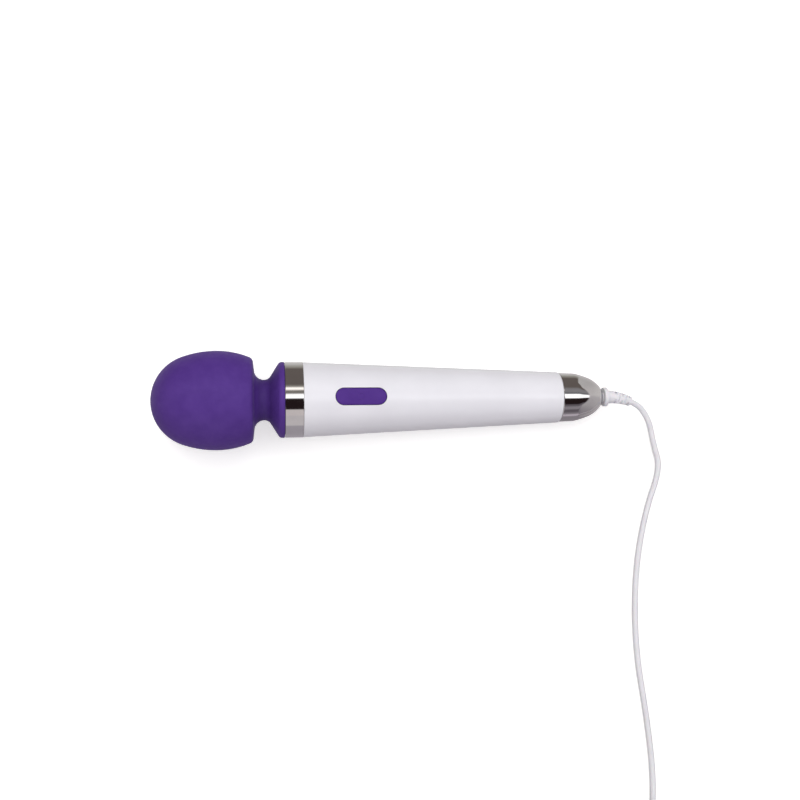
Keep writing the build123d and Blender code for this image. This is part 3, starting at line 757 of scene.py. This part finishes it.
def strap():
    """A hook-and-loop strap round the coil's turns on one side, its end laid back over its start."""
    base = STRAP_THICKNESS / 2
    line = rounded([
        (STRAP_START, STRAP_TOP, 0),
        (-strap_inner, STRAP_TOP, STRAP_CORNER),
        (-strap_inner, base, STRAP_CORNER),
        (-strap_outer, base, STRAP_CORNER),
        (-strap_outer, STRAP_TOP, STRAP_CORNER),
        *((place, STRAP_TOP + height, rounding) for place, height, rounding in STRAP_LAP),
    ], closed=False)
    rings = []
    for x, z, facing_x, facing_z in line:
        ring = []
        for side, face in ((-0.5, -0.5), (0.5, -0.5), (0.5, 0.5), (-0.5, 0.5)):
            offset = face * STRAP_THICKNESS
            place = Vector((x + facing_x * offset, side * STRAP_WIDTH, z + facing_z * offset))
            ring.append(Vector((COIL_CENTRE.x, COIL_CENTRE.y, 0)) + place * MM)
        rings.append(ring)
    piece = closed_tube("cord_strap", rings, MOULDED_SHARP)
    soften = piece.modifiers.new("soft edges", "BEVEL")
    soften.width = STRAP_SOFTENING * MM
    soften.segments = 3
    return piece


tie = strap()
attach(tie, "handle")
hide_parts("cord_tie")
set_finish(tie, "tie_white")

# Materials --------------------------------------------------------------------


def linear(red, green, blue):
    """A screen colour, each part from 0 to 255, as light, by the sRGB curve."""
    shares = [part / 255 for part in (red, green, blue)]
    return [
        share / 12.92 if share <= 0.04045 else ((share + 0.055) / 1.055) ** 2.4
        for share in shares
    ]


def set_inputs(node, values):
    """Sets a node's own sockets by their names, with _ for a space."""
    for socket, value in values.items():
        node.inputs[socket.replace("_", " ")].default_value = value


class Finish:
    """A material whose colour, roughness and relief come from patterns over the object.

    The patterns' sizes and depths are in millimetres.
    """

    def __init__(self, name, **values):
        self.material = bpy.data.materials.new(name)
        self.material.use_nodes = True
        self.tree = self.material.node_tree
        self.shader = self.tree.nodes["Principled BSDF"]
        set_inputs(self.shader, values)

    def node(self, kind, **inputs):
        made = self.tree.nodes.new(kind)
        set_inputs(made, inputs)
        return made

    def link(self, output, socket):
        self.tree.links.new(output, socket)

    def places(self, size, stretch=(1, 1, 1)):
        """The object's own coordinates, scaled so that one unit is this size, longer where stretched."""
        coordinates = self.node("ShaderNodeTexCoord")
        mapping = self.node("ShaderNodeMapping", Scale=[1 / (size * MM * way) for way in stretch])
        self.link(coordinates.outputs["Object"], mapping.inputs["Vector"])
        return mapping.outputs["Vector"]

    def noise(self, size, detail=2.0, stretch=(1, 1, 1)):
        texture = self.node("ShaderNodeTexNoise", Scale=1.0, Detail=detail)
        self.link(self.places(size, stretch), texture.inputs["Vector"])
        return texture.outputs[0]

    def cells(self, size):
        texture = self.node("ShaderNodeTexVoronoi", Scale=1.0)
        self.link(self.places(size), texture.inputs["Vector"])
        return texture.outputs["Distance"]

    def lines(self, size, axis, distortion=0.0):
        texture = self.node("ShaderNodeTexWave", Scale=1.0, Distortion=distortion)
        texture.bands_direction = axis
        self.link(self.places(size), texture.inputs["Vector"])
        return texture.outputs["Fac"]

    def colours(self, pattern, dark, light, low=0.35, high=0.65):
        """The base colour, from dark where the pattern is low to light where it is high."""
        ramp = self.node("ShaderNodeValToRGB")
        for stop, place, colour in zip(ramp.color_ramp.elements, (low, high), (dark, light)):
            stop.position = place
            stop.color = (*colour, 1)
        self.shader.inputs["Base Color"].default_value = (*light, 1)
        self.link(pattern, ramp.inputs["Fac"])
        self.link(ramp.outputs["Color"], self.shader.inputs["Base Color"])

    def painted_shade_between(self, places, shade):
        """The base colour multiplied by a tone over part of the wand: painted shade, standing in for the
        shade that falls there.

        It comes on between the first two places along the axis and goes off between the last two.
        """
        coordinates = self.node("ShaderNodeTexCoord")
        along = self.node("ShaderNodeVectorMath")
        along.operation = "DOT_PRODUCT"
        along.inputs[1].default_value = axis_x / MM
        self.link(coordinates.outputs["Object"], along.inputs[0])
        offset = tip_at.dot(axis_x) / MM
        first, last = places[0] + offset, places[-1] + offset
        reach = self.node("ShaderNodeMapRange", From_Min=first, From_Max=last)
        self.link(along.outputs["Value"], reach.inputs["Value"])
        ramp = self.node("ShaderNodeValToRGB")
        stops = ramp.color_ramp.elements
        stops.new(0.5)
        stops.new(0.5)
        for stop, place, tone in zip(stops, places, (1, shade, shade, 1)):
            stop.position = (place - places[0]) / (places[-1] - places[0])
            stop.color = (tone, tone, tone, 1)
        self.link(reach.outputs["Result"], ramp.inputs["Fac"])
        mixed = self.node("ShaderNodeMix")
        mixed.data_type = "RGBA"
        mixed.blend_type = "MULTIPLY"
        factor, first_colour, second_colour = mixed.inputs[0], mixed.inputs[6], mixed.inputs[7]
        factor.default_value = 1.0
        base = self.shader.inputs["Base Color"]
        self.link(base.links[0].from_socket, first_colour)
        self.link(ramp.outputs["Color"], second_colour)
        self.link(mixed.outputs[2], base)

    def roughness(self, pattern, low, high):
        """Roughness from low to high over the range that noise mostly keeps to."""
        spread = self.node("ShaderNodeMapRange", From_Min=0.3, From_Max=0.7, To_Min=low, To_Max=high)
        self.shader.inputs["Roughness"].default_value = (low + high) / 2
        self.link(pattern, spread.inputs["Value"])
        self.link(spread.outputs["Result"], self.shader.inputs["Roughness"])

    def relief(self, *patterns):
        """Bumps, each (pattern, depth in millimetres), one on another."""
        below = None
        for pattern, depth in patterns:
            bump = self.node("ShaderNodeBump", Strength=1.0, Distance=depth * MM)
            self.link(pattern, bump.inputs["Height"])
            if below:
                self.link(below, bump.inputs["Normal"])
            below = bump.outputs["Normal"]
        self.link(below, self.shader.inputs["Normal"])


def silicone(name, dark, light, neck=None):
    """Soft-touch silicone: a fine matte tooth, slight mottling and a dusty edge sheen.

    Over the stretch of the neck, if one is given, its colour is darkened by painted shade for the neck's
    hollow.
    """
    made = Finish(name, Sheen_Weight=0.06, Sheen_Roughness=0.4, Specular_IOR_Level=0.32, IOR=1.42)
    made.shader.inputs["Sheen Tint"].default_value = (0.55, 0.45, 0.85, 1)
    made.colours(made.noise(9, 4), dark, light)
    if neck:
        # Painted shade: the colour is darkened over the neck's hollow, where shade falls.
        made.painted_shade_between(neck, PAINTED_NECK_SHADE_TONE)
    made.roughness(made.noise(3, 3), 0.50, 0.62)
    made.relief((made.noise(0.16, 2), 0.012), (made.noise(1.6, 2), 0.01))
    return made.material


def gloss_white(name, dark, light, low=0.16, high=0.26, peel=0.0025):
    """Glossy moulded plastic with a faint orange peel, handling haze and hair scratches."""
    made = Finish(name, Specular_IOR_Level=0.42, IOR=1.49, Coat_Weight=0.15, Coat_Roughness=0.08)
    made.colours(made.noise(30, 3), dark, light)
    made.roughness(made.noise(14, 4), low, high)
    made.relief((made.noise(2.2, 1), peel), (made.noise(0.5, 2, (40, 1, 1)), 0.0004))
    return made.material


def chrome(name, dark, light):
    """Bright plate over a moulding: near mirror, with a breath of haze and a barely uneven surface."""
    made = Finish(name, Metallic=1.0)
    made.colours(made.noise(12, 3), dark, light)
    made.roughness(made.noise(6, 4), 0.035, 0.075)
    made.relief((made.noise(7, 1), 0.0012))
    return made.material


def jacket(name, dark, light):
    """Soft white vinyl: satin, with a fine drawn grain and slight handling marks."""
    made = Finish(name, Specular_IOR_Level=0.4, Subsurface_Weight=0.08, Subsurface_Scale=0.6 * MM)
    made.colours(made.noise(8, 3), dark, light)
    made.roughness(made.noise(2.5, 3), 0.32, 0.48)
    made.relief((made.noise(0.7, 2), 0.006))
    return made.material


def moulded(name, dark, light, low, high, grain):
    """Plain moulded plastic with a spark-eroded grain."""
    made = Finish(name, Specular_IOR_Level=0.45)
    made.colours(made.noise(6, 3), dark, light)
    made.roughness(made.noise(2, 3), low, high)
    made.relief((made.cells(grain), 0.01))
    return made.material


def glass_filled(name, dark, light):
    """Black moulding with short glass fibres that show as fine light streaks."""
    made = Finish(name, Specular_IOR_Level=0.4)
    made.colours(made.noise(0.35, 2, (5, 1, 1)), dark, light, 0.45, 0.8)
    made.roughness(made.noise(3, 3), 0.5, 0.7)
    made.relief((made.noise(0.5, 3), 0.015))
    return made.material


def turned_metal(name, dark, light, low=0.18, high=0.34, feed=0.25):
    """Metal cut on a lathe, with feed lines along the wand's axis."""
    made = Finish(name, Metallic=1.0)
    made.colours(made.noise(4, 4), dark, light)
    made.roughness(made.noise(0.6, 3, (1, 6, 6)), low, high)
    made.relief((made.lines(feed, "X", 0.6), 0.002))
    return made.material


def drawn_wire(name, dark, light):
    """Oiled spring wire with die lines and darker stains."""
    made = Finish(name, Metallic=1.0)
    made.colours(made.noise(2, 4), dark, light)
    made.roughness(made.noise(0.8, 4), 0.22, 0.42)
    made.relief((made.noise(0.2, 2, (6, 1, 1)), 0.003))
    return made.material


def plated(name, dark, light):
    """Zinc or nickel plate with a soft spangle."""
    made = Finish(name, Metallic=1.0)
    made.colours(made.cells(0.8), dark, light, 0.1, 0.7)
    made.roughness(made.noise(0.8, 3), 0.24, 0.4)
    made.relief((made.noise(0.3, 2), 0.002))
    return made.material


def pressed_powder(name, dark, light, metallic=0.0):
    """Sintered or pressed powder: dark grains with bright specks and open pores."""
    made = Finish(name, Metallic=metallic, Specular_IOR_Level=0.35)
    made.colours(made.noise(0.25, 3), dark, light, 0.4, 0.75)
    made.roughness(made.noise(0.8, 3), 0.55, 0.8)
    made.relief((made.cells(0.3), 0.02))
    return made.material


def laminations(name, dark, light):
    """Stacked steel sheets under varnish: fine lines across the axis."""
    made = Finish(name, Metallic=0.85, Coat_Weight=0.4, Coat_Roughness=0.2)
    made.colours(made.lines(0.5, "X"), dark, light, 0.2, 0.6)
    made.roughness(made.noise(1.5, 3), 0.3, 0.5)
    made.relief((made.lines(0.5, "X"), 0.02))
    return made.material


def solder_mask(name, dark, light):
    """Green board: mask over copper tracks and glass weave."""
    made = Finish(name, Specular_IOR_Level=0.5, Coat_Weight=0.3, Coat_Roughness=0.12)
    bricks = made.node("ShaderNodeTexBrick", Scale=1.0, Mortar_Size=0.08)
    made.link(made.places(2.4, (2.5, 1, 1)), bricks.inputs["Vector"])
    made.colours(bricks.outputs["Fac"], dark, light, 0.3, 0.7)
    made.roughness(made.noise(1, 3), 0.22, 0.35)
    made.relief((bricks.outputs["Fac"], 0.02), (made.noise(0.4, 1), 0.004))
    return made.material


def clear_tube(name, dark, light):
    """Clear glass, slightly wavy."""
    made = Finish(name, Transmission_Weight=0.9, IOR=1.5)
    made.colours(made.noise(3, 2), dark, light)
    made.roughness(made.noise(3, 2), 0.02, 0.07)
    made.relief((made.noise(4, 1), 0.01))
    return made.material


def webbing(name, dark, light):
    """Woven strap with a soft looped face."""
    made = Finish(name, Sheen_Weight=0.4, Sheen_Roughness=0.5, Specular_IOR_Level=0.2)
    weave = made.lines(0.35, "DIAGONAL", 1.5)
    made.colours(weave, dark, light, 0.2, 0.8)
    made.roughness(made.noise(0.8, 3), 0.8, 0.95)
    made.relief((weave, 0.05), (made.noise(0.25, 3), 0.05))
    return made.material


PURPLE = ((77, 46, 131), (82, 51, 137))
# Painted shade over the neck's hollow: where along the wand the silicone's colour is darkened, and how
# far.
PAINTED_NECK_SHADE_SPAN = (68.6, 71.5, 79.0, 84.0)
PAINTED_NECK_SHADE_TONE = 0.72

# A kind of finish for each slot, its dark and light screen colours, and what else that kind takes.
FINISHES = {
    "silicone": (silicone, *PURPLE, PAINTED_NECK_SHADE_SPAN),
    "silicone_neck": (silicone, *PURPLE, PAINTED_NECK_SHADE_SPAN),
    "button_silicone": (silicone, (75, 42, 130), (80, 47, 136)),
    "white_gloss": (gloss_white, (229, 229, 236), (233, 233, 240)),
    "chrome": (chrome, (205, 203, 204), (211, 210, 210)),
    "core_plastic": (glass_filled, (36, 36, 38), (70, 70, 72)),
    "mount_plastic": (glass_filled, (66, 66, 70), (96, 96, 100)),
    "spring_steel": (drawn_wire, (104, 104, 108), (160, 160, 164)),
    "shaft_steel": (turned_metal, (158, 158, 162), (178, 178, 182), 0.1, 0.2, 0.12),
    "bearing_steel": (turned_metal, (172, 172, 176), (192, 192, 196), 0.08, 0.16, 0.15),
    "weight_brass": (turned_metal, (164, 126, 60), (196, 158, 84)),
    "zinc_screw": (plated, (152, 152, 154), (182, 182, 182)),
    "motor_steel": (plated, (120, 124, 130), (146, 148, 152)),
    "magnet_ferrite": (pressed_powder, (30, 30, 32), (48, 48, 50)),
    "armature_steel": (laminations, (70, 66, 62), (126, 124, 122)),
    "copper": (turned_metal, (176, 96, 58), (200, 122, 80)),
    "carbon": (pressed_powder, (22, 22, 23), (44, 44, 46), 0.2),
    "bushing_bronze": (pressed_powder, (126, 90, 44), (172, 130, 74), 0.9),
    "damper_rubber": (moulded, (16, 16, 16), (26, 26, 26), 0.7, 0.85, 0.2),
    "circuit_board": (solder_mask, (16, 62, 32), (38, 96, 52)),
    "chip_black": (moulded, (14, 14, 15), (24, 24, 25), 0.5, 0.65, 0.15),
    "switch_black": (moulded, (20, 20, 21), (32, 32, 33), 0.35, 0.5, 0.15),
    "plunger_cream": (moulded, (194, 184, 154), (206, 198, 172), 0.3, 0.45, 0.2),
    "capacitor_blue": (gloss_white, (24, 40, 104), (34, 52, 122), 0.25, 0.4),
    "fuse_glass": (clear_tube, (222, 230, 226), (232, 238, 236)),
    "terminal_green": (moulded, (34, 100, 54), (50, 120, 68), 0.4, 0.55, 0.25),
    "lead_sleeve": (jacket, (108, 18, 16), (130, 28, 24)),
    "cord_white": (jacket, (226, 226, 232), (232, 232, 237)),
    "clamp_plastic": (glass_filled, (54, 54, 57), (82, 82, 85)),
    "plug_white": (gloss_white, (224, 224, 228), (230, 230, 234), 0.45, 0.55, 0.001),
    "blade_nickel": (plated, (172, 166, 156), (196, 191, 180)),
    "tie_white": (webbing, (188, 188, 190), (218, 218, 220)),
}
finishes = {
    slot: kind(slot, linear(*dark), linear(*light), *rest)
    for slot, (kind, dark, light, *rest) in FINISHES.items()
}

for part in frame["record"]["subparts"]:
    node = nodes[part["node"]]
    node.data.materials.clear()
    node.data.materials.append(finishes[part["material_slot"]])
for piece in (head_skin, neck_sleeve, *springs, collar, cap, key, mark, relief, tie, cord):
    piece.data.materials.append(finishes[piece["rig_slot"]])

# Floor and light --------------------------------------------------------------

FLOOR_REACH = 3.0
FLOOR_HEIGHT = -0.0001
floor_corners = [
    (x * FLOOR_REACH, y * FLOOR_REACH, FLOOR_HEIGHT)
    for x, y in ((-1, -1), (1, -1), (1, 1), (-1, 1))
]
floor = new_piece("floor", floor_corners, [(0, 1, 2, 3)])
floor.visible_glossy = False

# The floor looks white, and throws less light back up at the wand than a white floor would.
FLOOR_SEEN = (linear(250, 250, 250), linear(253, 253, 253))
FLOOR_BOUNCE = linear(142, 140, 142)
FLOOR_GLOW = 0.42
floor_paint = Finish("floor_paint", Specular_IOR_Level=0.0, Emission_Color=(1, 1, 1, 1))
floor_paint.colours(floor_paint.noise(400, 2), *FLOOR_SEEN)
floor_paint.roughness(floor_paint.noise(120, 2), 0.85, 0.95)
rays = floor_paint.node("ShaderNodeLightPath")
seen = floor_paint.shader.inputs["Base Color"].links[0].from_socket
bounce = floor_paint.node("ShaderNodeMix")
bounce.data_type = "RGBA"
factor, low_colour, high_colour = bounce.inputs[0], bounce.inputs[6], bounce.inputs[7]
low_colour.default_value = (*FLOOR_BOUNCE, 1)
floor_paint.link(rays.outputs["Is Camera Ray"], factor)
floor_paint.link(seen, high_colour)
floor_paint.link(bounce.outputs[2], floor_paint.shader.inputs["Base Color"])
glow = floor_paint.node("ShaderNodeMapRange", To_Max=FLOOR_GLOW)
floor_paint.link(rays.outputs["Is Camera Ray"], glow.inputs["Value"])
floor_paint.link(glow.outputs["Result"], floor_paint.shader.inputs["Emission Strength"])
floor.data.materials.append(floor_paint.material)

# The chrome shows a studio drawn by direction, and not the floor, so what is under the horizon is drawn
# too. Bands run along the wand, by the angle in degrees from overhead towards +Y: a grey wall on the -Y
# side, a dark gap overhead, a long soft box, a narrower one, a dim room on the +Y side, and pale floor
# under both. Towards the tail the bands shift and change, and a pale wall closes the room, up to a slope
# of END_WALL_TOP.
STUDIO_PEAK = 2.0
SOFT_BOX = (1.8, 1.8, 1.8)
GREY_WALL = (0.68, 0.64, 0.65)
NEAR_WALL = (0.76, 0.70, 0.69)
GAP = (0.022, 0.013, 0.014)
BETWEEN = (0.27, 0.25, 0.23)
NARROW_BOX = (1.7, 1.6, 1.5)
DIM_ROOM = (0.168, 0.143, 0.130)
SKIRTING = (0.38, 0.36, 0.32)
UPPER_FLOOR = (0.69, 0.68, 0.66)
LOWER_FLOOR = (0.45, 0.42, 0.46)
TAIL_WALL = (0.32, 0.29, 0.32)
TAIL_SHADE = (0.16, 0.14, 0.16)
TAIL_SILL = (0.64, 0.57, 0.63)
TAIL_BETWEEN = (0.31, 0.30, 0.31)
TAIL_DARK_BETWEEN = (0.22, 0.22, 0.23)
TAIL_FLOOR = (0.30, 0.28, 0.30)
HEAD_BANDS = [
    (-180, LOWER_FLOOR), (-92, LOWER_FLOOR), (-87, GREY_WALL), (-56, GREY_WALL),
    (-51, NEAR_WALL), (-35.5, NEAR_WALL), (-32.5, GAP), (-2, GAP),
    (1.5, SOFT_BOX), (10, SOFT_BOX), (15.5, BETWEEN), (22.5, BETWEEN),
    (28, NARROW_BOX), (31, NARROW_BOX), (36, SKIRTING), (43, DIM_ROOM),
    (103, DIM_ROOM), (113, SKIRTING), (136, UPPER_FLOOR), (180, UPPER_FLOOR),
]
TAIL_BANDS = [
    (-180, TAIL_FLOOR), (-113, TAIL_WALL), (-106, TAIL_SILL), (-99, TAIL_SILL),
    (-92, TAIL_WALL), (-79, TAIL_SHADE), (-70, TAIL_SHADE), (-64, TAIL_WALL),
    (-54, TAIL_WALL), (-48, TAIL_SHADE), (-43, TAIL_SHADE), (-38, GAP),
    (-12, GAP), (-7, SOFT_BOX), (9, SOFT_BOX), (12.5, TAIL_DARK_BETWEEN),
    (18, TAIL_DARK_BETWEEN), (23, TAIL_BETWEEN), (36, TAIL_BETWEEN), (47, DIM_ROOM),
    (99, DIM_ROOM), (114, SKIRTING), (134, UPPER_FLOOR), (180, TAIL_SILL),
]
# The head's bands turn into the tail's between these parts of a direction along the wand.
LEAN_BETWEEN = (0.12, 0.24)
# The closing wall, by how far to +Y it is seen, from -1 to 1.
END_WALL_STOPS = [
    (-1, TAIL_SHADE), (-0.8, TAIL_WALL),
    (-0.55, (0.49, 0.46, 0.47)), (-0.05, (0.59, 0.56, 0.57)),
    (0.1, (0.73, 0.70, 0.69)), (0.45, (0.70, 0.67, 0.66)),
    (0.7, (0.62, 0.60, 0.59)), (1, (0.60, 0.58, 0.57)),
]
END_WALL_TOP = 0.60
END_WALL_EDGE = 0.05
END_WALL_FROM = (0.44, 0.50)
# What the camera sees past the floor is plain.
BACKDROP = linear(238, 238, 239)

scene.view_settings.view_transform = "Standard"
world = bpy.data.worlds.new("studio")
scene.world = world
world.use_nodes = True
sky = world.node_tree
sky.nodes.clear()


def sky_node(kind, *sources, **inputs):
    """A node of the studio's light, with outputs linked to its first sockets in order."""
    made = sky.nodes.new(kind)
    for socket, source in zip(made.inputs, sources):
        sky.links.new(source, socket)
    set_inputs(made, inputs)
    return made


def between(value, low, high):
    """How far a value is on its way from low to high, kept to the range from 0 to 1."""
    return sky_node("ShaderNodeMapRange", value, From_Min=low, From_Max=high).outputs[0]


def bands(place, stops, low, high):
    """Light in bands across a place that runs from low to high; each stop is (place, colour)."""
    ramp = sky_node("ShaderNodeValToRGB", between(place, low, high))
    elements = ramp.color_ramp.elements
    while len(elements) < len(stops):
        elements.new(1.0)
    for element, (stop, colour) in zip(elements, stops):
        element.position = (stop - low) / (high - low)
        element.color = [part / STUDIO_PEAK for part in colour] + [1]
    return sky_node("ShaderNodeBackground", ramp.outputs["Color"], Strength=STUDIO_PEAK).outputs[0]


def worked(operation, first, second):
    """The result of an operation on two outputs, or on an output and a number."""
    made = sky_node("ShaderNodeMath", first)
    made.operation = operation
    if isinstance(second, float):
        made.inputs[1].default_value = second
    else:
        sky.links.new(second, made.inputs[1])
    return made.outputs[0]


def blended(factor, first, second):
    """The first light where the factor is 0, and the second where it is 1."""
    return sky_node("ShaderNodeMixShader", factor, first, second).outputs[0]


towards = sky_node("ShaderNodeTexCoord").outputs["Generated"]
to_tail, to_side, to_top = sky_node("ShaderNodeSeparateXYZ", towards).outputs
degrees = worked("MULTIPLY", worked("ARCTAN2", to_side, to_top), math.degrees(1))
head_room = bands(degrees, HEAD_BANDS, -180, 180)
tail_room = bands(degrees, TAIL_BANDS, -180, 180)
room = blended(between(to_tail, *LEAN_BETWEEN), head_room, tail_room)
under_wall_top = worked("SUBTRACT", worked("MULTIPLY", to_tail, END_WALL_TOP), to_top)
under_it = between(under_wall_top, 0, END_WALL_EDGE)
end_wall_share = worked("MINIMUM", under_it, between(to_tail, *END_WALL_FROM))
studio = blended(end_wall_share, room, bands(to_side, END_WALL_STOPS, -1, 1))
backdrop = sky_node("ShaderNodeBackground", Color=(*BACKDROP, 1)).outputs[0]
seen_directly = sky_node("ShaderNodeLightPath").outputs["Is Camera Ray"]
sky_node("ShaderNodeOutputWorld", blended(seen_directly, studio, backdrop))

# Two broad lamps that the chrome doesn't show: the key high on the +Y side, and a fill on the other.
LAMP_SIZE = (1.4, 1.0)
LAMPS = {
    "key_light": (Vector((0.02, 0.72, 0.98)), 9.2),
    "fill_light": (Vector((0.02, -0.82, 0.86)), 3.6),
}
for name, (place, watts) in LAMPS.items():
    light = bpy.data.lights.new(name, "AREA")
    light.shape = "RECTANGLE"
    light.size, light.size_y = LAMP_SIZE
    light.energy = watts
    lamp = bpy.data.objects.new(name, light)
    lamp.location = place
    lamp.rotation_euler = (-place).to_track_quat("-Z", "Y").to_euler()
    lamp.visible_glossy = False
    scene.collection.objects.link(lamp)
